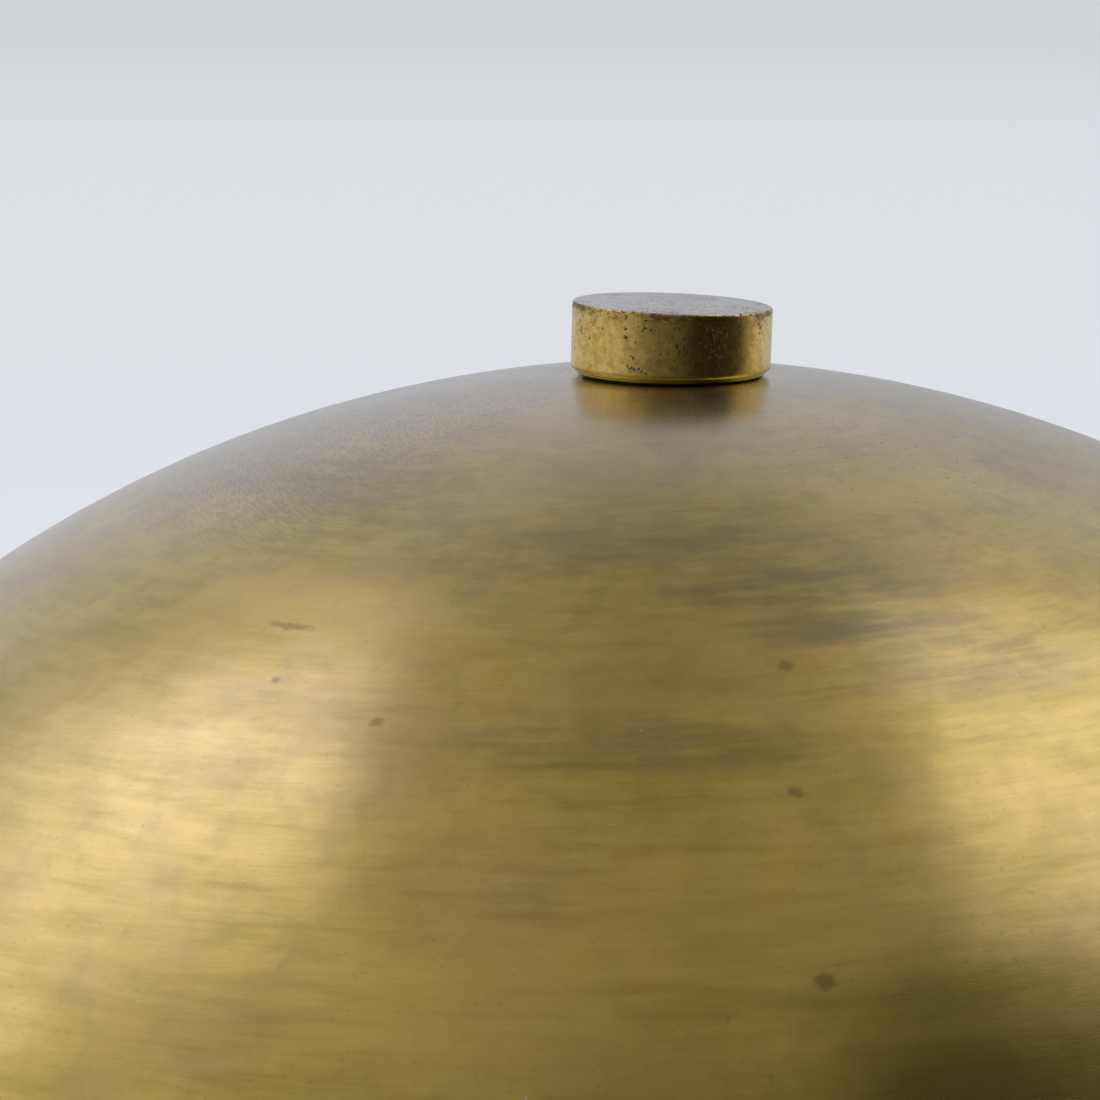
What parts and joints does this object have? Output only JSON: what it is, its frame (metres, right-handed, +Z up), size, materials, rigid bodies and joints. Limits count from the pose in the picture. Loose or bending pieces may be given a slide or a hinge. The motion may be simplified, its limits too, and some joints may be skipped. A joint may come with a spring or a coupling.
{
  "type": "display dome",
  "caption": "Opaque spun brass display dome with a turned screw-on knob and rolled rim, standing over a felted deck on a low wooden base.",
  "frame": {"origin": "centre of the base's underside, on the surface it stands on", "axes": "+Z up along the axis of the dome, its knob and the round base; X and Y are equivalent"},
  "size_m": [0.34, 0.34, 0.2094],
  "materials": {
    "dome_brass": "aged, brushed round the axis",
    "knob_brass": "turned, with dark pits",
    "fixing_brass": "satin",
    "steel": "satin",
    "walnut": "waxed",
    "deck_walnut": "waxed",
    "grey_felt": "pressed felt",
    "green_baize": "napped baize",
    "black_fibre": "vulcanised fibre"
  },
  "bodies": {
    "base": {"base_felt": "grey_felt", "base_board": "walnut", "deck_disc": "deck_walnut", "deck_felt": "green_baize", "deck_screws": "fixing_brass", "rim_felt": "grey_felt"},
    "dome": {"dome_shell": "dome_brass", "rim_wire": "steel", "spreader_washer": "fixing_brass", "lock_washer": "steel", "stud_nut": "fixing_brass", "knob_stud": "steel"},
    "knob_carrier": {"knob_washer": "black_fibre"},
    "knob": {"knob": "knob_brass"}
  },
  "joints": [
    {"name": "dome_lift", "type": "slide", "parent": "base", "child": "dome", "axis": [0, 0, 1], "range_m": [0, 0.22]},
    {"name": "knob_lift", "type": "slide", "parent": "dome", "child": "knob_carrier", "axis": [0, 0, 1], "range_m": [0, 0.006]},
    {"name": "knob_turn", "type": "hinge", "parent": "knob_carrier", "child": "knob", "pos_m": [0, 0, 0.20095], "axis": [0, 0, 1], "range_deg": [0, 2160]}
  ],
  "couplings": [
    {"joint": "knob_lift", "follows": "knob_turn", "m_per_rad": 0.00015915}
  ]
}
